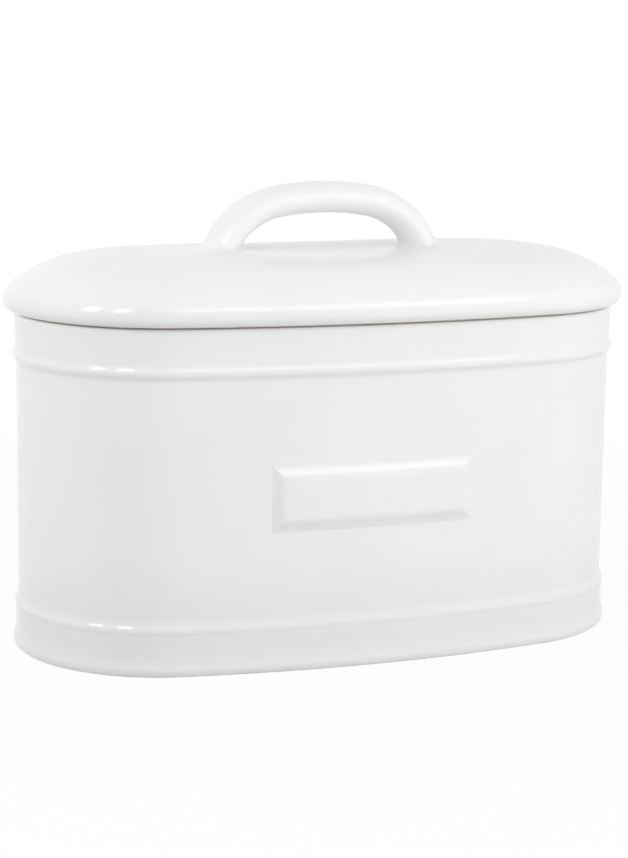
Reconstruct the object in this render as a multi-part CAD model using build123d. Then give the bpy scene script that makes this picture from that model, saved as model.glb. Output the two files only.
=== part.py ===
from build123d import *
import math
import os

# Oval bread crock in glazed stoneware: body, label plaque, lift-off lid and loop handle.
# Millimetres, +Z up, +X along the length, the label faces -Y, origin under the middle of the foot.

# Plan of the plain wall: two gently bowed sides that run tangent into two round ends
body_length = 345.0
body_depth = 174.0
side_bow_radius = 640.0

# Body height, wall and floor
rim_height = 185.0
wall_thickness = 7.0
floor_thickness = 8.0
floor_corner_radius = 12.0
foot_ring_width = 10.0
foot_recess = 2.0
foot_edge_radius = 3.0
lip_radius = 2.5
mouth_radius = 2.0

# Beads that run round the body, and the bands beside them, measured out from the wall
bead_crest = 1.9
bead_radius = 4.0
bead_shoulder_radius = 5.0
bead_underside_radius = 1.5
lower_bead_height = 25.2
upper_bead_drop = 22.6
foot_bead_crest = 2.8
foot_bead_radius = 6.5
foot_bead_height = 5.5
foot_cove_radius = 12.0
foot_band = 1.4
rim_band = 0.8

# Lid: rolled edge, shoulder and crown are three tangent arcs up to a flat for the handle
lid_overhang = 6.8
lid_edge_rise = 6.0
lid_edge_radius = 11.5
lid_shoulder_radius = 77.0
lid_shoulder_slope = 37.8
lid_crown_slope = 12.4
lid_flat_depth = 58.0
lid_thickness = 6.5
lid_seam_gap = 1.4
seat_setback = 0.8
flange_clearance = 1.8
flange_thickness = 5.0
flange_depth = 12.0
flange_edge_radius = 1.8
lid_hollow_radius = 6.0

# Loop handle: a three-centred arch of oval section, flared where it meets the lid
handle_span = 127.4
handle_shoulder_radius = 44.0
handle_crown_radius = 158.0
handle_springing_drop = 18.0
handle_thickness = 17.5
handle_depth = 30.0
handle_flare_radius = 4.5
handle_flare_edge = 0.5

# Label plaque on the front wall
plaque_length = 115.6
plaque_height = 35.6
plaque_middle_height = 93.8
plaque_relief = 2.8
plaque_bevel = 3.4
plaque_edge = 0.4
plaque_arris_radius = 0.8

# Lap by which the floor, or a body that is cut away again, reaches past what it serves
lap = 4.0

# The four arcs of the plan: middle direction, half angle, radius and centre of each
half_length = body_length / 2
half_depth = body_depth / 2
end_radius = (2 * side_bow_radius * half_depth - half_length**2 - half_depth**2) / (
    2 * (side_bow_radius - half_length)
)
end_centre = half_length - end_radius
side_centre = side_bow_radius - half_depth
side_half_angle = math.degrees(math.atan2(end_centre, side_centre))
end_half_angle = 90 - side_half_angle
front_arc = (270, side_half_angle, side_bow_radius, (0, side_centre))
plan_arcs = [
    (0, end_half_angle, end_radius, (end_centre, 0)),
    (90, side_half_angle, side_bow_radius, (0, -side_centre)),
    (180, end_half_angle, end_radius, (-end_centre, 0)),
    front_arc,
]


def oval_face(offset):
    # The plan, grown or shrunk evenly by the offset
    arcs = [
        CenterArc(centre, radius + offset, middle - half_angle, 2 * half_angle)
        for middle, half_angle, radius, centre in plan_arcs
    ]
    return make_face(arcs)


def along_arc(profile, arc, half_angle):
    # Turns a profile, drawn as (distance out from the wall, height), about one arc's own centre
    middle, _, radius, centre = arc
    section = Pos(radius, 0, 0) * (Plane.XZ * profile)
    return Pos(*centre) * Rot(0, 0, middle - half_angle) * revolve(section, Axis.Z, 2 * half_angle)


def around_oval(profile):
    # Takes a profile all the way round the plan
    ring = Part()
    for arc in plan_arcs:
        ring += along_arc(profile, arc, arc[1])
    return ring


def rounded(face, radius, *corners):
    # Rounds the named corners of a profile
    return fillet([face.vertices().sort_by_distance(corner)[0] for corner in corners], radius)


def bead_reach(radius, crest, face):
    # Half the height of a bead where it runs into a face that far out from the wall
    return math.sqrt(radius**2 - (radius - (crest - face)) ** 2)


def body_profile(floor_join):
    upper_bead_height = rim_height - upper_bead_drop
    floor_top = foot_recess + floor_thickness
    foot_inside = foot_bead_crest - foot_ring_width
    foot_edge = foot_bead_crest - foot_bead_radius + math.sqrt(foot_bead_radius**2 - foot_bead_height**2)

    ground = (foot_edge, 0)
    foot_top = (foot_band, foot_bead_height + bead_reach(foot_bead_radius, foot_bead_crest, foot_band))
    lower_start = (foot_band, lower_bead_height - bead_reach(bead_radius, bead_crest, foot_band))
    lower_end = (0, lower_bead_height + bead_reach(bead_radius, bead_crest, 0))
    upper_start = (0, upper_bead_height - bead_reach(bead_radius, bead_crest, 0))
    upper_end = (rim_band, upper_bead_height + bead_reach(bead_radius, bead_crest, rim_band))
    lip = (rim_band, rim_height)
    mouth = (-wall_thickness, rim_height)
    floor_corner = (-wall_thickness, floor_top)
    recess_corner = (foot_inside, foot_recess)
    foot_corner = (foot_inside, 0)

    face = make_face(
        [
            ThreePointArc(ground, (foot_bead_crest, foot_bead_height), foot_top),
            Line(foot_top, lower_start),
            ThreePointArc(lower_start, (bead_crest, lower_bead_height), lower_end),
            Line(lower_end, upper_start),
            ThreePointArc(upper_start, (bead_crest, upper_bead_height), upper_end),
            Polyline(
                upper_end,
                lip,
                mouth,
                floor_corner,
                (floor_join, floor_top),
                (floor_join, foot_recess),
                recess_corner,
                foot_corner,
                ground,
            ),
        ]
    )
    face = rounded(face, foot_edge_radius, ground)
    face = rounded(face, foot_cove_radius, foot_top)
    face = rounded(face, bead_underside_radius, lower_start, upper_start)
    face = rounded(face, bead_shoulder_radius, lower_end, upper_end)
    face = rounded(face, lip_radius, lip)
    face = rounded(face, mouth_radius, mouth)
    face = rounded(face, floor_corner_radius, floor_corner)
    return rounded(face, foot_recess / 2, recess_corner, foot_corner)


def make_body():
    floor_join = -(max(wall_thickness + floor_corner_radius, foot_ring_width) + lap)
    floor = extrude(Pos(0, 0, foot_recess) * oval_face(floor_join), floor_thickness)
    return around_oval(body_profile(floor_join)) + floor


def on_slope(centre, radius, slope):
    # The point of a dome's arc where its surface has that slope
    return centre + Vector(math.sin(math.radians(slope)), math.cos(math.radians(slope))) * radius


def dome_arc(centre, radius, upper_slope, lower_slope):
    middle_slope = (upper_slope + lower_slope) / 2
    return ThreePointArc(*[on_slope(centre, radius, s) for s in (upper_slope, middle_slope, lower_slope)])


# The lid's arcs, from the edge inwards; the crown takes up what is left to the flat
lid_edge = Vector(lid_overhang, rim_height + lid_edge_rise)
lid_edge_centre = lid_edge - Vector(lid_edge_radius, 0)
lid_shoulder_centre = on_slope(
    lid_edge_centre, lid_edge_radius - lid_shoulder_radius, lid_shoulder_slope
)
lid_flat_offset = lid_flat_depth / 2 - half_depth
lid_crown_foot = on_slope(lid_shoulder_centre, lid_shoulder_radius, lid_crown_slope)
lid_crown_radius = (lid_crown_foot.X - lid_flat_offset) / math.sin(math.radians(lid_crown_slope))
lid_crown_centre = on_slope(lid_shoulder_centre, lid_shoulder_radius - lid_crown_radius, lid_crown_slope)
lid_top = lid_crown_centre.Y + lid_crown_radius


def dome(depth):
    # Crown and shoulder arcs, at a depth below the lid's outer surface
    return [
        dome_arc(lid_crown_centre, lid_crown_radius - depth, 0, lid_crown_slope),
        dome_arc(lid_shoulder_centre, lid_shoulder_radius - depth, lid_crown_slope, lid_shoulder_slope),
    ]


def lid_profile():
    underside = rim_height + lid_seam_gap
    roll_radius = lid_edge.Y - underside
    roll_centre = lid_edge - Vector(roll_radius, 0)
    seat_outside = rim_band - lip_radius - seat_setback
    flange_outside = -wall_thickness - flange_clearance
    flange_inside = flange_outside - flange_thickness
    flange_bottom = rim_height - flange_depth

    flange_corners = [(flange_outside, flange_bottom), (flange_inside, flange_bottom)]
    flat_edge = (lid_flat_offset, lid_top)
    outer = make_face(
        [
            *dome(0),
            dome_arc(lid_edge_centre, lid_edge_radius, lid_shoulder_slope, 90),
            dome_arc(roll_centre, roll_radius, 90, 180),
            Polyline(
                (roll_centre.X, underside),
                (seat_outside, underside),
                (seat_outside, rim_height),
                (flange_outside, rim_height),
                flange_corners[0],
                (lid_flat_offset, flange_bottom),
                flat_edge,
            ),
        ]
    )
    ceiling = dome(lid_thickness)
    ceiling_end = ceiling[-1] @ 1
    hollow = make_face(
        [
            *ceiling,
            Polyline(
                ceiling_end,
                (ceiling_end.X, flange_bottom),
                (lid_flat_offset, flange_bottom),
                ceiling[0] @ 0,
            ),
        ]
    )
    hollow_width = flange_inside - lid_flat_offset
    inside = Pos(lid_flat_offset + hollow_width / 2, flange_bottom) * Rectangle(hollow_width, 2 * rim_height)
    hollow &= inside
    ceiling_corner = hollow.vertices().sort_by(Axis.X)[-2:].sort_by(Axis.Y)[-1]
    hollow = fillet(ceiling_corner, lid_hollow_radius)
    return rounded(outer - hollow, flange_edge_radius, *flange_corners)


def make_lid():
    flat = extrude(Pos(0, 0, lid_top - lid_thickness) * oval_face(lid_flat_offset), lid_thickness)
    return around_oval(lid_profile()) + flat


def make_handle():
    # Both shoulder arcs run tangent into the crown arc
    springing = lid_top - handle_springing_drop
    shoulder_x = handle_span / 2 - handle_shoulder_radius
    crown_drop = math.sqrt((handle_crown_radius - handle_shoulder_radius) ** 2 - shoulder_x**2)
    crown_half_angle = math.degrees(math.atan2(shoulder_x, crown_drop))
    shoulder_axis = Axis((shoulder_x, 0, springing), (0, -1, 0))
    crown_axis = Axis((0, 0, springing - crown_drop), (0, -1, 0))

    section = Ellipse(handle_thickness / 2, handle_depth / 2)
    shoulder_section = Pos(handle_span / 2, 0, springing) * section
    shoulder = revolve(shoulder_section, shoulder_axis, 90 - crown_half_angle)
    crown_section = Pos(handle_crown_radius, 0, springing - crown_drop) * section
    crown = revolve(crown_section, crown_axis, 2 * crown_half_angle)
    crown = crown.rotate(crown_axis, 90 - crown_half_angle)
    arch = shoulder + crown + mirror(shoulder, Plane.YZ)

    # A bed just under the lid's flat gives the arch its flared feet and is then cut away
    bed_top = lid_top - handle_flare_edge
    bed_reach = handle_thickness + handle_depth
    bed_plan = Rectangle(handle_span + bed_reach, handle_depth + bed_reach)
    bed = extrude(Pos(0, 0, bed_top) * bed_plan, -(handle_springing_drop + lap))
    on_bed = (arch + bed).edges().filter_by_position(Axis.Z, bed_top, bed_top)
    flared = fillet(on_bed.filter_by(GeomType.LINE, reverse=True), handle_flare_radius)
    return split(flared, Plane.XY.offset(lid_top), Keep.TOP)


def make_plaque():
    half_angle = math.degrees(plaque_length / 2 / side_bow_radius)
    slab = Pos(plaque_relief / 2, plaque_middle_height) * Rectangle(plaque_relief, plaque_height)
    plaque = along_arc(slab, front_arc, half_angle)
    front = plaque.faces().sort_by(Axis.Y)[0]
    plaque = chamfer(front.edges(), plaque_bevel, plaque_relief - plaque_edge, reference=front)
    front = plaque.faces().sort_by(Axis.Y)[0]
    return fillet(front.edges(), plaque_arris_radius)


nodes = {
    "crock_body": make_body(),
    "label_plaque": make_plaque(),
    "lid": make_lid(),
    "lid_handle": make_handle(),
}

os.makedirs("parts", exist_ok=True)
for name, solid in nodes.items():
    export_step(solid, f"parts/{name}.step")
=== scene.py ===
import math

import bpy
from mathutils import Matrix, Vector


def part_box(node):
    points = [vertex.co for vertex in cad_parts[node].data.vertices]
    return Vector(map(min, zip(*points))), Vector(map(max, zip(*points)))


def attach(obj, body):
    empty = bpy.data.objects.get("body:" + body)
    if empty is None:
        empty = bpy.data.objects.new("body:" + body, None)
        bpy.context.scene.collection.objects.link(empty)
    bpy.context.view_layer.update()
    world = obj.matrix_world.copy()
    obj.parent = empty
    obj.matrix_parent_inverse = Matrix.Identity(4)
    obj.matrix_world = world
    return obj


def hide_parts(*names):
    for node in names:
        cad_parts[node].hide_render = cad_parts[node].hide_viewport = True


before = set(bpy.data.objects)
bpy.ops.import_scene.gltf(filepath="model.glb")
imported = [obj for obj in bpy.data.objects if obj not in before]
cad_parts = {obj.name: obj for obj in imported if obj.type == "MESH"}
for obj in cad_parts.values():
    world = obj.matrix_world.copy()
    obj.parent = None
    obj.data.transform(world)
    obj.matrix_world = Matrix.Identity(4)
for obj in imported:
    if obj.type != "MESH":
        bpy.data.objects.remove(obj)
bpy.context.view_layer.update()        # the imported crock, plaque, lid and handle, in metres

mm = 0.001
crockLow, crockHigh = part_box("crock_body")
lidLow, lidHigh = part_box("lid")
plaqueLow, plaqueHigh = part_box("label_plaque")
print("frame loaded:", sorted(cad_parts))


def addNode(tree, kind, links=None, **settings):
    # one node with its settings, and each named input linked or given a value
    node = tree.nodes.new(kind)
    for name, value in settings.items():
        setattr(node, name, value)
    for name, source in (links or {}).items():
        if isinstance(source, bpy.types.NodeSocket):
            tree.links.new(source, node.inputs[name])
        else:
            node.inputs[name].default_value = source
    return node


def linear(hexColour, alpha=1.0):
    # sRGB hex to the linear values that shaders take
    parts = [int(hexColour[i:i + 2], 16) / 255 for i in (1, 3, 5)]
    return [c / 12.92 if c <= 0.04045 else ((c + 0.055) / 1.055) ** 2.4 for c in parts] + [alpha]


# Gloss white glaze, dipped and fired over stoneware: a hard clear coat with long soft highlights and a
# slow swell in its thickness, a little greyer towards the foot as painted shade for the light falling off
# near the floor, a little duller at the top, and dull bare clay where it was wiped off so as not to stick
# in
# the kiln: under the foot, and where lid and rim meet, darkened there as painted shade of the seam line.
glaze = {
    "white": "#f2f2f2",
    "thick": "#f0f0f0",          # where it pools
    # painted shade: the glaze greyed towards the foot, darker lower down as if less lit
    "foot": "#eaeaea",
    # bare clay, its darker tone also painted shade of the seam line where lid and rim meet
    "clayAndSeamShade": "#bdb6a9",
    "roughness": 0.07,
    "topRoughness": 0.26,        # lid and handle stood in the kiln's draught
    "dullFrom": 190 * mm,        # heights between which it dulls
    "dullTo": 214 * mm,
    "clayRoughness": 0.8,
    "ior": 1.52,
    "cloudSize": 60 * mm,        # drift in thickness
    "cloudDetail": 2.0,
    "cloudRoughness": 0.4,
    "pooled": 0.3,               # share of the drift at which it has fully pooled
    "even": 0.62,                # and at which it is fully white
    "swellSize": 28 * mm,        # long waves left by dipping
    "swellDetail": 1.0,
    "swellDepth": 0.05 * mm,
    "footShadeFrom": 70 * mm,         # heights between which painted shade greys it towards the foot
    "footShadeTo": 10 * mm,
    "footLine": 0.3 * mm,        # wiped clean below this height
    "seamShadeBelow": 0.35 * mm,      # wiped bare, and darkened as painted seam shade, from this far below the rim
    "seamShadeAbove": 0.8 * mm,       # to this far above it
}


def makeGlaze():
    material = bpy.data.materials.new("whiteStonewareGlaze")
    material.use_nodes = True
    tree = material.node_tree
    tree.nodes.clear()
    place = addNode(tree, "ShaderNodeTexCoord").outputs["Object"]
    cloud = addNode(tree, "ShaderNodeTexNoise", {
        "Vector": place, "Scale": 1 / glaze["cloudSize"],
        "Detail": glaze["cloudDetail"], "Roughness": glaze["cloudRoughness"]})
    colour = addNode(tree, "ShaderNodeValToRGB", {"Fac": cloud.outputs["Fac"]})
    colour.color_ramp.elements[0].position = glaze["pooled"]
    colour.color_ramp.elements[0].color = linear(glaze["thick"])
    colour.color_ramp.elements[1].position = glaze["even"]
    colour.color_ramp.elements[1].color = linear(glaze["white"])
    height = addNode(tree, "ShaderNodeSeparateXYZ", {"Vector": place}).outputs["Z"]
    # painted shade: greyer towards the foot, as if the lower wall were less lit
    footShadeShare = addNode(tree, "ShaderNodeMapRange", {
        "Value": height, "From Min": glaze["footShadeFrom"], "From Max": glaze["footShadeTo"],
        "To Min": 0.0, "To Max": 1.0}, interpolation_type="SMOOTHSTEP").outputs["Result"]
    footShaded = addNode(tree, "ShaderNodeMix", data_type="RGBA", links={
        0: footShadeShare, 6: colour.outputs["Color"], 7: linear(glaze["foot"])})
    foot = addNode(tree, "ShaderNodeMath", {
        0: height, 1: glaze["footLine"]}, operation="LESS_THAN").outputs[0]
    # painted shade: a band of darker bare clay at the rim, deepening the shadow line between lid and crock
    seamShadeMiddle = crockHigh.z + (glaze["seamShadeAbove"] - glaze["seamShadeBelow"]) / 2
    seamShadeHalf = (glaze["seamShadeAbove"] + glaze["seamShadeBelow"]) / 2
    seat = addNode(tree, "ShaderNodeMath", {
        0: height, 1: seamShadeMiddle, 2: seamShadeHalf}, operation="COMPARE").outputs[0]
    clayAndSeamShadeMask = addNode(tree, "ShaderNodeMath", {0: foot, 1: seat}, operation="MAXIMUM").outputs[0]
    skin = addNode(tree, "ShaderNodeMix", data_type="RGBA", links={
        0: clayAndSeamShadeMask, 6: footShaded.outputs[2], 7: linear(glaze["clayAndSeamShade"])})
    glossy = addNode(tree, "ShaderNodeMapRange", {
        "Value": height, "From Min": glaze["dullFrom"], "From Max": glaze["dullTo"],
        "To Min": glaze["roughness"], "To Max": glaze["topRoughness"]},
        interpolation_type="SMOOTHSTEP").outputs["Result"]
    gloss = addNode(tree, "ShaderNodeMapRange", {
        "Value": clayAndSeamShadeMask, "To Min": glossy, "To Max": glaze["clayRoughness"]}).outputs["Result"]
    swell = addNode(tree, "ShaderNodeTexNoise", {
        "Vector": place, "Scale": 1 / glaze["swellSize"], "Detail": glaze["swellDetail"]})
    bump = addNode(tree, "ShaderNodeBump", {
        "Height": swell.outputs["Fac"], "Distance": glaze["swellDepth"], "Strength": 1.0})
    shader = addNode(tree, "ShaderNodeBsdfPrincipled", {
        "Base Color": skin.outputs[2], "Roughness": gloss, "IOR": glaze["ior"],
        "Normal": bump.outputs["Normal"]})
    addNode(tree, "ShaderNodeOutputMaterial", {"Surface": shader.outputs["BSDF"]})
    return material


whiteGlaze = makeGlaze()
print("glaze made")


# The oval plan that crock and lid share: two bowed sides running tangent into two round ends
plan = {
    "widest": 2.8 * mm,          # how far the foot bead stands out of the wall
    "sideRadius": 640 * mm,
    "endSteps": 96,
    "sideSteps": 40,
    "weld": 0.01 * mm,           # points closer than this are one
}
plan["halfLength"] = crockHigh.x - plan["widest"]
plan["halfDepth"] = crockHigh.y - plan["widest"]
plan["endRadius"] = (
    2 * plan["sideRadius"] * plan["halfDepth"] - plan["halfLength"] ** 2 - plan["halfDepth"] ** 2
) / (2 * (plan["sideRadius"] - plan["halfLength"]))
plan["endCentre"] = plan["halfLength"] - plan["endRadius"]
plan["sideCentre"] = plan["sideRadius"] - plan["halfDepth"]
plan["endAngle"] = math.pi / 2 - math.atan2(plan["endCentre"], plan["sideCentre"])


def arcPoints(centre, radius, fromDeg, toDeg, step=7.5):
    # points on an arc of a profile, (distance out from the wall, height)
    count = max(3, math.ceil(abs(toDeg - fromDeg) / step))
    angles = [math.radians(fromDeg + (toDeg - fromDeg) * i / count) for i in range(count + 1)]
    return [(centre[0] + radius * math.cos(a), centre[1] + radius * math.sin(a)) for a in angles]


def profileLine(points, same=0.02 * mm, support=1.2 * mm, longest=9 * mm):
    # drops repeated points, and splits long runs with points near their ends so that gloss stays even
    line = [points[0]]
    for point in points[1:]:
        last = Vector(line[-1])
        run = Vector(point) - last
        if run.length < same:
            continue
        if run.length > 3 * support:
            inner = run.length - 2 * support
            count = max(1, math.ceil(inner / longest))
            for i in range(count + 1):
                line.append(tuple(last + run.normalized() * (support + inner * i / count)))
        line.append(tuple(point))
    return line


def nodesInput(tree, name, kind):
    tree.interface.new_socket(name=name, in_out="INPUT", socket_type=kind)


def makeOvalTree():
    # takes a profile round the oval plan; a profile that reaches the middle closes on the plan's spine
    tree = bpy.data.node_groups.new("ovalTurning", "GeometryNodeTree")
    tree.interface.new_socket(name="Shell", in_out="OUTPUT", socket_type="NodeSocketGeometry")
    nodesInput(tree, "Profile", "NodeSocketGeometry")
    for name in ("End Radius", "End Centre", "End Angle", "Side Radius", "Side Centre"):
        nodesInput(tree, name, "NodeSocketFloat")
    for name in ("End Steps", "Side Steps"):
        nodesInput(tree, name, "NodeSocketInt")
    nodesInput(tree, "Glaze", "NodeSocketMaterial")
    given = addNode(tree, "NodeGroupInput").outputs

    rows = addNode(tree, "GeometryNodeAttributeDomainSize", {
        "Geometry": given["Profile"]}).outputs["Point Count"]
    half = addNode(tree, "ShaderNodeMath", {
        0: given["End Steps"], 1: given["Side Steps"]}, operation="ADD").outputs[0]
    around = addNode(tree, "ShaderNodeMath", {
        0: half, 1: 2.0, 2: 1.0}, operation="MULTIPLY_ADD").outputs[0]
    grid = addNode(tree, "GeometryNodeMeshGrid", {
        "Vertices X": around, "Vertices Y": rows}).outputs["Mesh"]

    # which column round the oval and which row of the profile a point of the grid is
    index = addNode(tree, "GeometryNodeInputIndex").outputs["Index"]
    ratio = addNode(tree, "ShaderNodeMath", {0: index, 1: rows}, operation="DIVIDE").outputs[0]
    column = addNode(tree, "ShaderNodeMath", {0: ratio}, operation="FLOOR").outputs[0]
    row = addNode(tree, "ShaderNodeMath", {0: index, 1: rows}, operation="MODULO").outputs[0]
    step = addNode(tree, "ShaderNodeMath", {0: column, 1: half}, operation="MODULO").outputs[0]
    turnShare = addNode(tree, "ShaderNodeMath", {0: column, 1: half}, operation="DIVIDE").outputs[0]
    turn = addNode(tree, "ShaderNodeMath", {0: turnShare}, operation="FLOOR").outputs[0]
    oddTurn = addNode(tree, "ShaderNodeMath", {0: turn, 1: 2.0}, operation="MODULO").outputs[0]
    sign = addNode(tree, "ShaderNodeMath", {
        0: oddTurn, 1: -2.0, 2: 1.0}, operation="MULTIPLY_ADD").outputs[0]

    # the first half turn is one end and one side, the second is the same turned round
    onEnd = addNode(tree, "ShaderNodeMath", {
        0: step, 1: given["End Steps"]}, operation="LESS_THAN").outputs[0]
    endFrom = addNode(tree, "ShaderNodeMath", {
        0: given["End Angle"], 1: -1.0}, operation="MULTIPLY").outputs[0]
    sideTo = addNode(tree, "ShaderNodeMath", {
        0: math.pi, 1: given["End Angle"]}, operation="SUBTRACT").outputs[0]
    endAngle = addNode(tree, "ShaderNodeMapRange", {
        "Value": step, "From Max": given["End Steps"],
        "To Min": endFrom, "To Max": given["End Angle"]}).outputs[0]
    sideAngle = addNode(tree, "ShaderNodeMapRange", {
        "Value": step, "From Min": given["End Steps"], "From Max": half,
        "To Min": given["End Angle"], "To Max": sideTo}).outputs[0]
    angle = addNode(tree, "GeometryNodeSwitch", {
        "Switch": onEnd, "False": sideAngle, "True": endAngle}, input_type="FLOAT").outputs[0]
    radius = addNode(tree, "GeometryNodeSwitch", {
        "Switch": onEnd, "False": given["Side Radius"], "True": given["End Radius"]},
        input_type="FLOAT").outputs[0]

    # the profile's point for this row: x is the distance out from the wall, z its height
    where = addNode(tree, "GeometryNodeInputPosition").outputs["Position"]
    sample = addNode(tree, "GeometryNodeSampleIndex", {
        "Geometry": given["Profile"], "Value": where, "Index": row},
        data_type="FLOAT_VECTOR").outputs[0]
    profile = addNode(tree, "ShaderNodeSeparateXYZ", {"Vector": sample}).outputs
    innermost = addNode(tree, "ShaderNodeMath", {
        0: given["End Radius"], 1: -1.0}, operation="MULTIPLY").outputs[0]
    held = addNode(tree, "ShaderNodeMath", {
        0: profile["X"], 1: innermost}, operation="MAXIMUM").outputs[0]
    reach = addNode(tree, "ShaderNodeMath", {0: radius, 1: held}, operation="ADD").outputs[0]
    cosine = addNode(tree, "ShaderNodeMath", {0: angle}, operation="COSINE").outputs[0]
    sine = addNode(tree, "ShaderNodeMath", {0: angle}, operation="SINE").outputs[0]
    endShift = addNode(tree, "ShaderNodeMath", {
        0: onEnd, 1: given["End Centre"]}, operation="MULTIPLY").outputs[0]
    x = addNode(tree, "ShaderNodeMath", {
        0: reach, 1: cosine, 2: endShift}, operation="MULTIPLY_ADD").outputs[0]
    endY = addNode(tree, "ShaderNodeMath", {0: reach, 1: sine}, operation="MULTIPLY").outputs[0]
    sideY = addNode(tree, "ShaderNodeMath", {
        0: endY, 1: given["Side Centre"]}, operation="SUBTRACT").outputs[0]
    ownY = addNode(tree, "GeometryNodeSwitch", {
        "Switch": onEnd, "False": sideY, "True": endY}, input_type="FLOAT").outputs[0]
    onSpine = addNode(tree, "ShaderNodeMath", {
        0: profile["X"], 1: held}, operation="LESS_THAN").outputs[0]
    y = addNode(tree, "GeometryNodeSwitch", {
        "Switch": onSpine, "False": ownY, "True": 0.0}, input_type="FLOAT").outputs[0]
    turnedX = addNode(tree, "ShaderNodeMath", {0: x, 1: sign}, operation="MULTIPLY").outputs[0]
    turnedY = addNode(tree, "ShaderNodeMath", {0: y, 1: sign}, operation="MULTIPLY").outputs[0]
    spot = addNode(tree, "ShaderNodeCombineXYZ", {
        "X": turnedX, "Y": turnedY, "Z": profile["Z"]}).outputs[0]

    turned = addNode(tree, "GeometryNodeSetPosition", {"Geometry": grid, "Position": spot}).outputs[0]
    welded = addNode(tree, "GeometryNodeMergeByDistance", {
        "Geometry": turned, "Distance": plan["weld"]}).outputs[0]
    smooth = addNode(tree, "GeometryNodeSetShadeSmooth", {"Geometry": welded}).outputs[0]
    real = addNode(tree, "GeometryNodeRealizeInstances", {"Geometry": smooth}).outputs[0]
    glazed = addNode(tree, "GeometryNodeSetMaterial", {
        "Geometry": real, "Material": given["Glaze"]}).outputs[0]
    addNode(tree, "NodeGroupOutput", {"Shell": glazed})
    return tree


def runTree(name, tree, points, edges, values):
    # gives a tree its starting points and sizes, and keeps the result as a plain mesh
    start = bpy.data.meshes.new(name + "Start")
    start.from_pydata(points, edges, [])
    piece = bpy.data.objects.new(name, start)
    bpy.context.scene.collection.objects.link(piece)
    modifier = piece.modifiers.new("shape", "NODES")
    modifier.node_group = tree
    sockets = {s.name: s.identifier for s in tree.interface.items_tree if s.in_out == "INPUT"}
    for key, value in values.items():
        modifier[sockets[key]] = value
    graph = bpy.context.evaluated_depsgraph_get()
    mesh = bpy.data.meshes.new_from_object(piece.evaluated_get(graph))
    piece.modifiers.remove(modifier)
    piece.data = mesh
    mesh.name = name
    bpy.data.meshes.remove(start)
    print(name, "has", len(mesh.polygons), "faces")
    return piece


ovalTree = makeOvalTree()
ovalValues = {
    "End Radius": plan["endRadius"], "End Centre": plan["endCentre"], "End Angle": plan["endAngle"],
    "Side Radius": plan["sideRadius"], "Side Centre": plan["sideCentre"],
    "End Steps": plan["endSteps"], "Side Steps": plan["sideSteps"], "Glaze": whiteGlaze,
}


def turnProfile(name, points):
    # the first and last rows are drawn together on the spine, level with the points next to them
    line = profileLine(points)
    line = [(-plan["halfDepth"], line[0][1]), *line, (-plan["halfDepth"], line[-1][1])]
    return runTree(name, ovalTree, [(d, 0, z) for d, z in line], [], ovalValues)


# Crock: foot ring, foot bead, two beads and a rim band on a plain upright wall
crock = {
    "wall": 7.0 * mm, "floor": 8.0 * mm, "floorCorner": 12.0 * mm,
    "footRing": 10.0 * mm, "footRecess": 2.0 * mm, "footEdge": 1.2 * mm,
    "lip": 1.8 * mm, "mouth": 2.0 * mm,
    "beadCrest": 1.9 * mm, "beadRadius": 4.0 * mm, "beadShoulder": 5.0 * mm, "beadUnderside": 5.0 * mm,
    "footCrest": plan["widest"], "footRadius": 6.5 * mm, "footCove": 30.0 * mm,
    "lowerCrest": 1.65 * mm, "lowerRadius": 5.0 * mm,
    "lowerShoulder": 9.0 * mm, "lowerUnderside": 5.0 * mm,
    "footBead": 3.2 * mm, "lowerBead": 24.1 * mm, "upperBeadDrop": 23.1 * mm,
    "footBand": 1.4 * mm, "rimBand": 0.8 * mm,
    "beadStep": 4, "rootStep": 6,        # degrees between the points of a bead and of the root under it
}


def beadRise(radius, crest, face, root):
    # half height and angle at which a bead's arc meets the root that eases it into a face
    both = radius + root
    rise = math.sqrt(both ** 2 - (face + both - crest) ** 2)
    return rise, math.degrees(math.asin(rise / both))


def beadTop(height, radius, crest, above, root):
    # the upper part of a bead, from its crest to the face above it
    rise, angle = beadRise(radius, crest, above, root)
    return [*arcPoints((crest - radius, height), radius, 0, angle, crock["beadStep"]),
            *arcPoints((above + root, height + rise), root, 180 + angle, 180, crock["beadStep"])]


def beadFoot(height, radius, crest, below, root):
    # the lower part of a bead, from the face below it to its crest
    rise, angle = beadRise(radius, crest, below, root)
    return [*arcPoints((below + root, height - rise), root, 180, 180 - angle, crock["rootStep"]),
            *arcPoints((crest - radius, height), radius, -angle, 0, crock["beadStep"])]


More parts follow.
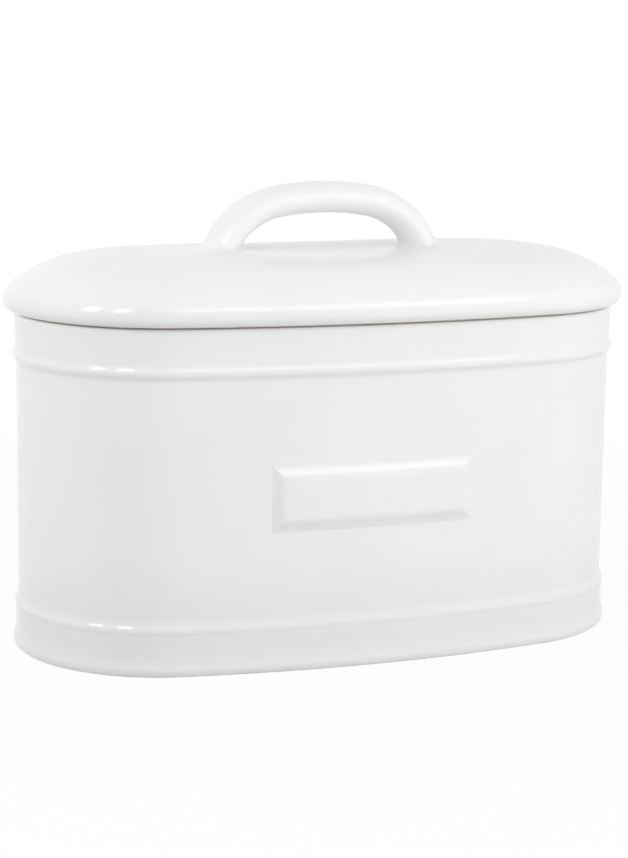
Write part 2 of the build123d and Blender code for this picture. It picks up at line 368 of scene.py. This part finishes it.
def makeCrock():
    rim = crockHigh.z
    upperBead = rim - crock["upperBeadDrop"]
    floorTop = crock["footRecess"] + crock["floor"]
    ringInside = crock["footCrest"] - crock["footRing"]
    ease = crock["footRecess"] / 2
    bead = (crock["beadRadius"], crock["beadCrest"])
    lowerBead = (crock["lowerRadius"], crock["lowerCrest"])
    footBead = (crock["footRadius"], crock["footCrest"])
    beadCentre = crock["footCrest"] - crock["footRadius"]
    inner = crock["footRadius"] - crock["footEdge"]
    drop = crock["footBead"] - crock["footEdge"]
    edgeX = beadCentre + math.sqrt(inner ** 2 - drop ** 2)
    edgeAngle = -math.degrees(math.asin(drop / inner))
    return turnProfile("crockBody", [
        (-plan["endRadius"], crock["footRecess"]),
        *arcPoints((ringInside - ease, ease), ease, 90, 0),
        *arcPoints((ringInside + ease, ease), ease, 180, 270),
        *arcPoints((edgeX, crock["footEdge"]), crock["footEdge"], -90, edgeAngle),
        *arcPoints((beadCentre, crock["footBead"]), crock["footRadius"], edgeAngle, 0),
        *beadTop(crock["footBead"], *footBead, crock["footBand"], crock["footCove"]),
        *beadFoot(crock["lowerBead"], *lowerBead, crock["footBand"], crock["lowerUnderside"]),
        *beadTop(crock["lowerBead"], *lowerBead, 0, crock["lowerShoulder"]),
        *beadFoot(upperBead, *bead, 0, crock["beadUnderside"]),
        *beadTop(upperBead, *bead, crock["rimBand"], crock["beadShoulder"]),
        *arcPoints((crock["rimBand"] - crock["lip"], rim - crock["lip"]), crock["lip"], 0, 90),
        *arcPoints((crock["mouth"] - crock["wall"], rim - crock["mouth"]), crock["mouth"], 90, 180),
        *arcPoints((-crock["wall"] - crock["floorCorner"], floorTop + crock["floorCorner"]),
                   crock["floorCorner"], 0, -90),
        (-plan["endRadius"], floorTop),
    ])


crockBody = makeCrock()

# Lid: rolled edge, shoulder and crown in one sweep, with a seat and a locating flange below
lid = {
    "overhang": 6.8 * mm, "edgeRise": 6.0 * mm, "edgeRadius": 11.5 * mm, "shoulderRadius": 77 * mm,
    "shoulderSlope": 37.8, "crownSlope": 12.4, "flatDepth": 58 * mm, "thickness": 6.5 * mm,
    "seamGap": 0.9 * mm, "seatSetback": 0.8 * mm, "crownSteps": 30,
    "flangeClearance": 1.8 * mm, "flangeThickness": 5.0 * mm, "flangeEdge": 1.8 * mm,
    "hollowEase": 6.0 * mm,
    "ceilingStep": 1.2, "haunchStep": 2.5,                   # degrees between points, inside
    "rollStep": 5, "edgeStep": 4, "shoulderStep": 1.5,       # and outside
    "sag": 1.2 * mm,             # how far the crown sank in the kiln between the handle's feet
    "sagAcross": (62 * mm, 15 * mm), "sagDeep": (88 * mm, 15 * mm),     # where it fades out and is full
    "sagAbove": 202 * mm,
}


def alongSlope(centre, slope, distance):
    return centre + distance * Vector((math.sin(math.radians(slope)), math.cos(math.radians(slope))))


def makeLid():
    rim = crockHigh.z
    edge = Vector((lid["overhang"], rim + lid["edgeRise"]))
    edgeCentre = edge - Vector((lid["edgeRadius"], 0))
    shoulderCentre = alongSlope(
        edgeCentre, lid["shoulderSlope"], lid["edgeRadius"] - lid["shoulderRadius"])
    crownFoot = alongSlope(shoulderCentre, lid["crownSlope"], lid["shoulderRadius"])
    flat = lid["flatDepth"] / 2 - plan["halfDepth"]
    crownRadius = (crownFoot.x - flat) / math.sin(math.radians(lid["crownSlope"]))
    crownCentre = alongSlope(crownFoot, lid["crownSlope"], -crownRadius)
    top = crownCentre.y + crownRadius
    underside = rim + lid["seamGap"]
    roll = edge.y - underside
    seat = crock["rimBand"] - crock["lip"] - lid["seatSetback"]
    flangeOut = -crock["wall"] - lid["flangeClearance"]
    flangeIn = flangeOut - lid["flangeThickness"]
    ease = lid["flangeEdge"]

    # the hollow's corner is rounded where the flange runs up into the ceiling
    ceilingRadius = lid["shoulderRadius"] - lid["thickness"]
    cornerX = flangeIn - lid["hollowEase"]
    cornerRise = math.sqrt((ceilingRadius - lid["hollowEase"]) ** 2 - (cornerX - shoulderCentre.x) ** 2)
    cornerAngle = math.degrees(math.atan2(cornerRise, cornerX - shoulderCentre.x))
    crownAngle = 90 - lid["crownSlope"]
    shoulderAngle = 90 - lid["shoulderSlope"]

    # the crown's slope dies away towards the spine without a break, and tops out at the same height
    reach = crownFoot.x + plan["endRadius"]
    steepness = math.tan(math.radians(lid["crownSlope"])) * reach / (top - crownFoot.y)
    crown = [(crownFoot.x - reach * t, top - (top - crownFoot.y) * (1 - t) ** steepness)
             for t in (i / lid["crownSteps"] for i in range(lid["crownSteps"] + 1))]
    return turnProfile("crockLid", [
        (-plan["endRadius"], top - lid["thickness"]),
        *arcPoints(crownCentre, crownRadius - lid["thickness"], 90, crownAngle, lid["ceilingStep"]),
        *arcPoints(shoulderCentre, ceilingRadius, crownAngle, cornerAngle, lid["haunchStep"]),
        *arcPoints((cornerX, shoulderCentre.y + cornerRise), lid["hollowEase"], cornerAngle, 0),
        *arcPoints((flangeIn + ease, lidLow.z + ease), ease, 180, 270),
        *arcPoints((flangeOut - ease, lidLow.z + ease), ease, 270, 360),
        (flangeOut, rim),
        (seat, rim),
        (seat, underside),
        *arcPoints((edge.x - roll, edge.y), roll, -90, 0, lid["rollStep"]),
        *arcPoints(edgeCentre, lid["edgeRadius"], 0, shoulderAngle, lid["edgeStep"]),
        *arcPoints(shoulderCentre, lid["shoulderRadius"], shoulderAngle, crownAngle,
                   lid["shoulderStep"]),
        *crown,
    ])


def fade(distance, outer, inner):
    # 0 outside, 1 inside, with a smooth change between
    share = min(max((outer - abs(distance)) / (outer - inner), 0), 1)
    return share ** 3 * (share * (6 * share - 15) + 10)


crockLid = makeLid()
for corner in crockLid.data.vertices:
    if corner.co.z > lid["sagAbove"]:
        sunk = fade(corner.co.x, *lid["sagAcross"]) * fade(corner.co.y, *lid["sagDeep"])
        corner.co.z -= lid["sag"] * sunk
print("lid sagged")

# Loop handle: an oval bar bent to a three-centred arch, its feet spread and smoothed onto the lid
handle = {
    "span": 127.4 * mm, "shoulderRadius": 44 * mm, "crownRadius": 158 * mm, "springingDrop": 18.0 * mm,
    "thickness": 17.44 * mm, "depth": 30 * mm, "bedding": 2 * mm,
    "flareHeight": 7.0 * mm, "flareSpread": 5.0 * mm, "flareBedding": 0.7 * mm,
    "innerShare": 0.7,           # how much of the flare there is towards the finger gap
    "sides": 64, "shoulderStep": 0.5, "crownStep": 0.8,      # points round the bar, degrees along it
}


def makeHandleTree():
    tree = bpy.data.node_groups.new("loopHandle", "GeometryNodeTree")
    tree.interface.new_socket(name="Handle", in_out="OUTPUT", socket_type="NodeSocketGeometry")
    nodesInput(tree, "Arch", "NodeSocketGeometry")
    for name in ("Thickness", "Depth", "Shoulder X", "Springing", "Foot Rise", "Foot Angle",
                 "Join Angle", "Lid Top", "Foot Centre", "Flare Height", "Flare Spread", "Inner Share"):
        nodesInput(tree, name, "NodeSocketFloat")
    nodesInput(tree, "Sides", "NodeSocketInt")
    nodesInput(tree, "Glaze", "NodeSocketMaterial")
    given = addNode(tree, "NodeGroupInput").outputs

    path = addNode(tree, "GeometryNodeMeshToCurve", {0: given["Arch"]}).outputs[0]
    facing = addNode(tree, "GeometryNodeSetCurveNormal", {
        "Curve": path, "Normal": (0, 1, 0)}, mode="FREE").outputs[0]
    ring = addNode(tree, "GeometryNodeCurvePrimitiveCircle", {
        "Resolution": given["Sides"], "Radius": 0.5})
    oval = addNode(tree, "ShaderNodeCombineXYZ", {
        "X": given["Depth"], "Y": given["Thickness"], "Z": 1.0}).outputs[0]
    section = addNode(tree, "GeometryNodeTransform", {
        "Geometry": ring.outputs[0], "Scale": oval}).outputs[0]
    bar = addNode(tree, "GeometryNodeCurveToMesh", {
        "Curve": facing, "Profile Curve": section, "Fill Caps": True}).outputs[0]

    # each line along the bar runs on or stops short round the shoulder, so that the foot ends level
    where = addNode(tree, "GeometryNodeInputPosition").outputs["Position"]
    part = addNode(tree, "ShaderNodeSeparateXYZ", {"Vector": where}).outputs
    side = addNode(tree, "ShaderNodeMath", {0: part["X"]}, operation="SIGN").outputs[0]
    outX = addNode(tree, "ShaderNodeMath", {0: part["X"]}, operation="ABSOLUTE").outputs[0]
    run = addNode(tree, "ShaderNodeMath", {
        0: outX, 1: given["Shoulder X"]}, operation="SUBTRACT").outputs[0]
    rise = addNode(tree, "ShaderNodeMath", {
        0: part["Z"], 1: given["Springing"]}, operation="SUBTRACT").outputs[0]
    spoke = addNode(tree, "ShaderNodeCombineXYZ", {"X": run, "Z": rise}).outputs[0]
    far = addNode(tree, "ShaderNodeVectorMath", {0: spoke}, operation="LENGTH").outputs["Value"]
    angle = addNode(tree, "ShaderNodeMath", {0: rise, 1: run}, operation="ARCTAN2").outputs[0]
    levelSine = addNode(tree, "ShaderNodeMath", {
        0: given["Foot Rise"], 1: far}, operation="DIVIDE").outputs[0]
    levelAngle = addNode(tree, "ShaderNodeMath", {0: levelSine}, operation="ARCSINE").outputs[0]
    change = addNode(tree, "ShaderNodeMath", {
        0: levelAngle, 1: given["Foot Angle"]}, operation="SUBTRACT").outputs[0]
    nearFoot = addNode(tree, "ShaderNodeMapRange", {
        "Value": angle, "From Min": given["Foot Angle"], "From Max": given["Join Angle"],
        "To Min": 1.0, "To Max": 0.0}).outputs[0]
    newAngle = addNode(tree, "ShaderNodeMath", {
        0: change, 1: nearFoot, 2: angle}, operation="MULTIPLY_ADD").outputs[0]
    cosine = addNode(tree, "ShaderNodeMath", {0: newAngle}, operation="COSINE").outputs[0]
    sine = addNode(tree, "ShaderNodeMath", {0: newAngle}, operation="SINE").outputs[0]
    farX = addNode(tree, "ShaderNodeMath", {
        0: far, 1: cosine, 2: given["Shoulder X"]}, operation="MULTIPLY_ADD").outputs[0]
    newX = addNode(tree, "ShaderNodeMath", {0: farX, 1: side}, operation="MULTIPLY").outputs[0]
    newZ = addNode(tree, "ShaderNodeMath", {
        0: far, 1: sine, 2: given["Springing"]}, operation="MULTIPLY_ADD").outputs[0]
    levelSpot = addNode(tree, "ShaderNodeCombineXYZ", {"X": newX, "Y": part["Y"], "Z": newZ}).outputs[0]
    level = addNode(tree, "GeometryNodeSetPosition", {
        "Geometry": bar, "Position": levelSpot}).outputs[0]

    # a quarter round spreads the bar as it comes down to the lid
    height = addNode(tree, "ShaderNodeMath", {
        0: part["Z"], 1: given["Lid Top"]}, operation="SUBTRACT").outputs[0]
    near = addNode(tree, "ShaderNodeMapRange", {
        "Value": height, "From Min": given["Flare Height"], "From Max": 0.0,
        "To Min": 0.0, "To Max": 1.0}).outputs[0]
    nearSquare = addNode(tree, "ShaderNodeMath", {0: near, 1: near}, operation="MULTIPLY").outputs[0]
    restSquare = addNode(tree, "ShaderNodeMath", {
        0: 1.0, 1: nearSquare}, operation="SUBTRACT").outputs[0]
    rest = addNode(tree, "ShaderNodeMath", {0: restSquare}, operation="SQRT").outputs[0]
    quarter = addNode(tree, "ShaderNodeMath", {0: 1.0, 1: rest}, operation="SUBTRACT").outputs[0]

    # outwards from the foot's own middle, less towards the finger gap
    across = addNode(tree, "ShaderNodeMath", {
        0: outX, 1: given["Foot Centre"]}, operation="SUBTRACT").outputs[0]
    acrossShare = addNode(tree, "ShaderNodeMath", {
        0: across, 1: given["Thickness"]}, operation="DIVIDE").outputs[0]
    depthShare = addNode(tree, "ShaderNodeMath", {
        0: part["Y"], 1: given["Depth"]}, operation="DIVIDE").outputs[0]
    aside = addNode(tree, "ShaderNodeCombineXYZ", {"X": acrossShare, "Y": depthShare}).outputs[0]
    unit = addNode(tree, "ShaderNodeVectorMath", {0: aside}, operation="NORMALIZE").outputs[0]
    unitPart = addNode(tree, "ShaderNodeSeparateXYZ", {"Vector": unit}).outputs
    share = addNode(tree, "ShaderNodeMapRange", {
        "Value": unitPart["X"], "From Min": -1.0, "From Max": 1.0,
        "To Min": given["Inner Share"], "To Max": 1.0}).outputs[0]
    spread = addNode(tree, "ShaderNodeMath", {
        0: quarter, 1: given["Flare Spread"]}, operation="MULTIPLY").outputs[0]
    amount = addNode(tree, "ShaderNodeMath", {0: spread, 1: share}, operation="MULTIPLY").outputs[0]
    wayX = addNode(tree, "ShaderNodeMath", {0: unitPart["X"], 1: side}, operation="MULTIPLY").outputs[0]
    way = addNode(tree, "ShaderNodeCombineXYZ", {"X": wayX, "Y": unitPart["Y"]}).outputs[0]
    move = addNode(tree, "ShaderNodeVectorMath", {
        0: way, "Scale": amount}, operation="SCALE").outputs[0]
    flared = addNode(tree, "GeometryNodeSetPosition", {"Geometry": level, "Offset": move}).outputs[0]

    smooth = addNode(tree, "GeometryNodeSetShadeSmooth", {"Geometry": flared}).outputs[0]
    real = addNode(tree, "GeometryNodeRealizeInstances", {"Geometry": smooth}).outputs[0]
    glazed = addNode(tree, "GeometryNodeSetMaterial", {
        "Geometry": real, "Material": given["Glaze"]}).outputs[0]
    addNode(tree, "NodeGroupOutput", {"Handle": glazed})
    return tree


def makeHandle():
    lidTop = lidHigh.z
    springing = lidTop - handle["springingDrop"]
    shoulderX = handle["span"] / 2 - handle["shoulderRadius"]
    crownDrop = math.sqrt((handle["crownRadius"] - handle["shoulderRadius"]) ** 2 - shoulderX ** 2)
    joinAngle = 90 - math.degrees(math.atan2(shoulderX, crownDrop))
    footRise = handle["springingDrop"] - handle["bedding"]
    footAngle = math.degrees(math.asin(footRise / handle["shoulderRadius"]))
    lidAngle = math.asin(handle["springingDrop"] / handle["shoulderRadius"])
    right = arcPoints((shoulderX, springing), handle["shoulderRadius"], footAngle, joinAngle,
                      handle["shoulderStep"])
    crown = arcPoints((0, springing - crownDrop), handle["crownRadius"], joinAngle, 180 - joinAngle,
                      handle["crownStep"])
    left = [(-x, z) for x, z in reversed(right)]
    arch = [(x, 0, z) for x, z in right + crown[1:-1] + left]
    return runTree("loopHandle", makeHandleTree(), arch, [(i, i + 1) for i in range(len(arch) - 1)], {
        "Thickness": handle["thickness"], "Depth": handle["depth"],
        "Shoulder X": shoulderX, "Springing": springing, "Foot Rise": footRise,
        "Foot Angle": math.radians(footAngle), "Join Angle": math.radians(joinAngle),
        "Lid Top": lidTop - handle["flareBedding"],
        "Foot Centre": shoulderX + handle["shoulderRadius"] * math.cos(lidAngle),
        "Flare Height": handle["flareHeight"], "Flare Spread": handle["flareSpread"],
        "Inner Share": handle["innerShare"], "Sides": handle["sides"], "Glaze": whiteGlaze,
    })


loopHandle = makeHandle()

# Label plaque: a bare bevelled tablet that follows the front wall
plaque = {
    "inset": 2.0 * mm,           # the bevel starts this far in, and its eased root runs out to the outline
    "bevelSlope": 0.57, "edgeStep": 0.6 * mm, "arris": 1.8 * mm, "root": 1.8 * mm,
    "apron": 2.0 * mm, "apronDepth": 0.1 * mm,               # a margin just under the wall's face
    "bedding": 0.6 * mm, "meshStep": 0.4 * mm,
}


def makePlaqueTree():
    tree = bpy.data.node_groups.new("labelPlaque", "GeometryNodeTree")
    tree.interface.new_socket(name="Plaque", in_out="OUTPUT", socket_type="NodeSocketGeometry")
    nodesInput(tree, "Start", "NodeSocketGeometry")
    for name in ("Length", "Height", "Middle Height", "Relief", "Bevel Slope", "Edge Step", "Arris",
                 "Root", "Apron", "Apron Level", "Bedding", "Mesh Step", "Wall Radius", "Wall Centre"):
        nodesInput(tree, name, "NodeSocketFloat")
    nodesInput(tree, "Glaze", "NodeSocketMaterial")
    given = addNode(tree, "NodeGroupInput").outputs

    sizeX = addNode(tree, "ShaderNodeMath", {
        0: given["Apron"], 1: 2.0, 2: given["Length"]}, operation="MULTIPLY_ADD").outputs[0]
    sizeY = addNode(tree, "ShaderNodeMath", {
        0: given["Apron"], 1: 2.0, 2: given["Height"]}, operation="MULTIPLY_ADD").outputs[0]
    countX = addNode(tree, "ShaderNodeMath", {
        0: sizeX, 1: given["Mesh Step"]}, operation="DIVIDE").outputs[0]
    countY = addNode(tree, "ShaderNodeMath", {
        0: sizeY, 1: given["Mesh Step"]}, operation="DIVIDE").outputs[0]
    size = addNode(tree, "ShaderNodeCombineXYZ", {"X": sizeX, "Y": sizeY, "Z": 1.0}).outputs[0]
    block = addNode(tree, "GeometryNodeMeshCube", {
        "Size": size, "Vertices X": countX, "Vertices Y": countY, "Vertices Z": 2}).outputs["Mesh"]

    # how far inside the plaque's outline a point is, which gives mitred corners
    where = addNode(tree, "GeometryNodeInputPosition").outputs["Position"]
    part = addNode(tree, "ShaderNodeSeparateXYZ", {"Vector": where}).outputs
    acrossX = addNode(tree, "ShaderNodeMath", {0: part["X"]}, operation="ABSOLUTE").outputs[0]
    acrossY = addNode(tree, "ShaderNodeMath", {0: part["Y"]}, operation="ABSOLUTE").outputs[0]
    insideX = addNode(tree, "ShaderNodeMath", {
        0: given["Length"], 1: 0.5}, operation="MULTIPLY").outputs[0]
    insideY = addNode(tree, "ShaderNodeMath", {
        0: given["Height"], 1: 0.5}, operation="MULTIPLY").outputs[0]
    leftX = addNode(tree, "ShaderNodeMath", {0: insideX, 1: acrossX}, operation="SUBTRACT").outputs[0]
    leftY = addNode(tree, "ShaderNodeMath", {0: insideY, 1: acrossY}, operation="SUBTRACT").outputs[0]
    inside = addNode(tree, "ShaderNodeMath", {0: leftX, 1: leftY}, operation="MINIMUM").outputs[0]

    # bevel up from the wall, eased at the arris and at the root
    slope = addNode(tree, "ShaderNodeMath", {
        0: inside, 1: given["Bevel Slope"], 2: given["Edge Step"]}, operation="MULTIPLY_ADD").outputs[0]
    eased = addNode(tree, "ShaderNodeMath", {
        0: slope, 1: given["Relief"], 2: given["Arris"]}, operation="SMOOTH_MIN").outputs[0]
    rooted = addNode(tree, "ShaderNodeMath", {
        0: eased, 1: given["Apron Level"], 2: given["Root"]}, operation="SMOOTH_MAX").outputs[0]
    buried = addNode(tree, "ShaderNodeMath", {
        0: given["Bedding"], 1: -1.0}, operation="MULTIPLY").outputs[0]
    isFront = addNode(tree, "ShaderNodeMath", {
        0: part["Z"], 1: 0.0}, operation="GREATER_THAN").outputs[0]
    relief = addNode(tree, "GeometryNodeSwitch", {
        "Switch": isFront, "False": buried, "True": rooted}, input_type="FLOAT").outputs[0]

    # bent round the front wall
    reach = addNode(tree, "ShaderNodeMath", {
        0: given["Wall Radius"], 1: relief}, operation="ADD").outputs[0]
    turn = addNode(tree, "ShaderNodeMath", {
        0: part["X"], 1: given["Wall Radius"]}, operation="DIVIDE").outputs[0]
    sine = addNode(tree, "ShaderNodeMath", {0: turn}, operation="SINE").outputs[0]
    cosine = addNode(tree, "ShaderNodeMath", {0: turn}, operation="COSINE").outputs[0]
    x = addNode(tree, "ShaderNodeMath", {0: reach, 1: sine}, operation="MULTIPLY").outputs[0]
    back = addNode(tree, "ShaderNodeMath", {0: reach, 1: cosine}, operation="MULTIPLY").outputs[0]
    y = addNode(tree, "ShaderNodeMath", {
        0: given["Wall Centre"], 1: back}, operation="SUBTRACT").outputs[0]
    z = addNode(tree, "ShaderNodeMath", {
        0: part["Y"], 1: given["Middle Height"]}, operation="ADD").outputs[0]
    spot = addNode(tree, "ShaderNodeCombineXYZ", {"X": x, "Y": y, "Z": z}).outputs[0]
    bent = addNode(tree, "GeometryNodeSetPosition", {"Geometry": block, "Position": spot}).outputs[0]
    smooth = addNode(tree, "GeometryNodeSetShadeSmooth", {"Geometry": bent}).outputs[0]
    real = addNode(tree, "GeometryNodeRealizeInstances", {"Geometry": smooth}).outputs[0]
    glazed = addNode(tree, "GeometryNodeSetMaterial", {
        "Geometry": real, "Material": given["Glaze"]}).outputs[0]
    addNode(tree, "NodeGroupOutput", {"Plaque": glazed})
    return tree


def makePlaque():
    wallFront = plan["sideCentre"] - plan["sideRadius"]
    return runTree("labelPlaque", makePlaqueTree(), [(0, 0, 0)], [], {
        "Length": plaqueHigh.x - plaqueLow.x - 2 * plaque["inset"],
        "Height": plaqueHigh.z - plaqueLow.z - 2 * plaque["inset"],
        "Middle Height": (plaqueHigh.z + plaqueLow.z) / 2, "Relief": wallFront - plaqueLow.y,
        "Bevel Slope": plaque["bevelSlope"], "Edge Step": plaque["edgeStep"], "Arris": plaque["arris"],
        "Root": plaque["root"], "Apron": plaque["apron"], "Apron Level": -plaque["apronDepth"],
        "Bedding": plaque["bedding"], "Mesh Step": plaque["meshStep"],
        "Wall Radius": plan["sideRadius"], "Wall Centre": plan["sideCentre"], "Glaze": whiteGlaze,
    })


labelPlaque = makePlaque()

for piece, node, body in (
    (crockBody, "crock_body", "crock"),
    (labelPlaque, "label_plaque", "crock"),
    (crockLid, "lid", "lid"),
    (loopHandle, "lid_handle", "lid"),
):
    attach(piece, body)
    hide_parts(node)
print("pieces ride on their bodies")

# Floor and light: a white sweep in an even room with a paler back, soft boxes all round that leave no shape
# in the gloss, and a key and two tall strips on the left that do
studio = {
    "floorReach": 4.0,
    "floorTone": "#c2c2c2",     # the sweep as it throws light back
    "paper": "#fafafa",         # and as it is seen
    "white": 1.0,
    "nearWhite": 0.92,          # how white the sweep looks beside the box, where the shadow shows
    "fadeFrom": 0.25, "fadeTo": 0.7,
    "skyTone": "#ffffff", "room": 0.255,
    "glows": (                  # azimuth from the front to the right, elevation, sharpness, strength
        (180, 40, 3, 0.6),
    ),
    "aim": (0.0, 0.0, 0.15),    # where the lamps point
    "lamps": (                  # name, place, width, height, watts, and whether it shows in the gloss
        ("keyBox", (0.30, -0.90, 0.95), 1.2, 0.45, 3.15, True),
        ("leftStrip", (-0.94, -0.81, 0.89), 0.26, 0.55, 2.0, True),
        ("farLeftStrip", (-1.21, -0.41, 0.85), 0.26, 0.55, 2.0, True),
        ("frontBox", (0.10, -1.20, 0.10), 1.0, 0.2, 3.1, False),
        ("rightBox", (1.05, -0.75, 0.21), 0.6, 0.4, 4.15, False),
        ("backLeftBox", (-1.30, 0.30, 0.36), 0.6, 0.5, 4.95, False),
        ("topBox", (0.0, -0.10, 0.90), 1.0, 0.6, 1.35, False),
    ),
}


def makeFloor():
    mesh = bpy.data.meshes.new("paleFloor")
    size = studio["floorReach"]
    corners = [(-size, -size, 0), (size, -size, 0), (size, size, 0), (-size, size, 0)]
    mesh.from_pydata(corners, [], [(0, 1, 2, 3)])
    floor = bpy.data.objects.new("paleFloor", mesh)
    bpy.context.scene.collection.objects.link(floor)
    material = bpy.data.materials.new("palePaperSweep")
    material.use_nodes = True
    tree = material.node_tree
    tree.nodes.clear()
    rays = addNode(tree, "ShaderNodeLightPath").outputs
    seen = addNode(tree, "ShaderNodeMath", {
        0: rays["Is Camera Ray"], 1: rays["Is Glossy Ray"]}, operation="MAXIMUM").outputs[0]
    through = addNode(tree, "ShaderNodeMath", {
        0: seen, 1: rays["Is Transmission Ray"]}, operation="MAXIMUM").outputs[0]
    place = addNode(tree, "ShaderNodeTexCoord").outputs["Object"]
    away = addNode(tree, "ShaderNodeVectorMath", {0: place}, operation="LENGTH").outputs["Value"]
    bleach = addNode(tree, "ShaderNodeMapRange", {
        "Value": away, "From Min": studio["fadeFrom"], "From Max": studio["fadeTo"],
        "To Min": studio["nearWhite"], "To Max": 1.0}).outputs[0]
    share = addNode(tree, "ShaderNodeMath", {0: through, 1: bleach}, operation="MULTIPLY").outputs[0]
    tone = addNode(tree, "ShaderNodeMix", data_type="RGBA", links={
        0: through, 6: linear(studio["floorTone"]), 7: linear(studio["paper"])})
    paper = addNode(tree, "ShaderNodeBsdfDiffuse", {"Color": tone.outputs[2]}).outputs[0]
    white = addNode(tree, "ShaderNodeEmission", {"Strength": studio["white"]}).outputs[0]
    mixed = addNode(tree, "ShaderNodeMixShader", {0: share, 1: paper, 2: white}).outputs[0]
    addNode(tree, "ShaderNodeOutputMaterial", {"Surface": mixed})
    mesh.materials.append(material)


def makeWorld():
    world = bpy.data.worlds.new("whiteRoom")
    world.use_nodes = True
    tree = world.node_tree
    tree.nodes.clear()
    ray = addNode(tree, "ShaderNodeTexCoord").outputs["Generated"]
    light = studio["room"]
    for azimuth, elevation, sharpness, strength in studio["glows"]:
        turn, lift = math.radians(azimuth), math.radians(elevation)
        axis = (math.sin(turn) * math.cos(lift), -math.cos(turn) * math.cos(lift), math.sin(lift))
        facing = addNode(tree, "ShaderNodeVectorMath", {
            0: ray, 1: axis}, operation="DOT_PRODUCT").outputs["Value"]
        ahead = addNode(tree, "ShaderNodeMath", {0: facing, 1: 0.0}, operation="MAXIMUM").outputs[0]
        glow = addNode(tree, "ShaderNodeMath", {0: ahead, 1: sharpness}, operation="POWER").outputs[0]
        light = addNode(tree, "ShaderNodeMath", {
            0: glow, 1: strength, 2: light}, operation="MULTIPLY_ADD").outputs[0]
    rays = addNode(tree, "ShaderNodeLightPath").outputs
    seen = addNode(tree, "ShaderNodeMath", {
        0: rays["Is Camera Ray"], 1: rays["Is Glossy Ray"]}, operation="MAXIMUM").outputs[0]
    through = addNode(tree, "ShaderNodeMath", {
        0: seen, 1: rays["Is Transmission Ray"]}, operation="MAXIMUM").outputs[0]
    strength = addNode(tree, "ShaderNodeMapRange", {
        "Value": through, "To Min": light, "To Max": studio["white"]}).outputs[0]
    sky = addNode(tree, "ShaderNodeBackground", {
        "Color": linear(studio["skyTone"]), "Strength": strength}).outputs[0]
    addNode(tree, "ShaderNodeOutputWorld", {"Surface": sky})
    bpy.context.scene.world = world


def makeLamp(name, place, width, height, watts, inGloss):
    light = bpy.data.lights.new(name, "AREA")
    light.shape = "RECTANGLE"
    light.size = width
    light.size_y = height
    light.energy = watts
    lamp = bpy.data.objects.new(name, light)
    lamp.location = place
    lamp.visible_glossy = inGloss
    lamp.rotation_euler = (Vector(studio["aim"]) - lamp.location).to_track_quat("-Z", "Y").to_euler()
    bpy.context.scene.collection.objects.link(lamp)


makeFloor()
makeWorld()
for lampSizes in studio["lamps"]:
    makeLamp(*lampSizes)
print("studio lit")

# Camera: matched to the oval's rims and beads, a little left of the front and slightly above
view = {
    "azimuth": -20.98, "elevation": 10.44, "distance": 1272.2 * mm, "focalPixels": 2238.9,
    "sideShift": -2.47 * mm, "lookHeight": 113.6 * mm, "roll": 0.83, "imageHeight": 858, "sensor": 36.0,
}


def makeCamera():
    turn, lift = math.radians(view["azimuth"]), math.radians(view["elevation"])
    back = Vector((math.sin(turn) * math.cos(lift), -math.cos(turn) * math.cos(lift), math.sin(lift)))
    right = Vector((math.cos(turn), math.sin(turn), 0))
    up = back.cross(right)
    roll = math.radians(view["roll"])
    rolledRight = right * math.cos(roll) + up * math.sin(roll)
    rolledUp = up * math.cos(roll) - right * math.sin(roll)
    data = bpy.data.cameras.new("shelfView")
    data.sensor_width = view["sensor"]
    data.lens = view["focalPixels"] * view["sensor"] / view["imageHeight"]
    camera = bpy.data.objects.new("shelfView", data)
    place = right * view["sideShift"] + Vector((0, 0, view["lookHeight"])) + back * view["distance"]
    camera.matrix_world = Matrix((
        (rolledRight.x, rolledUp.x, back.x, place.x),
        (rolledRight.y, rolledUp.y, back.y, place.y),
        (rolledRight.z, rolledUp.z, back.z, place.z),
        (0, 0, 0, 1),
    ))
    bpy.context.scene.collection.objects.link(camera)
    bpy.context.scene.camera = camera


makeCamera()
bpy.context.scene.view_settings.view_transform = "Standard"
print("camera set")
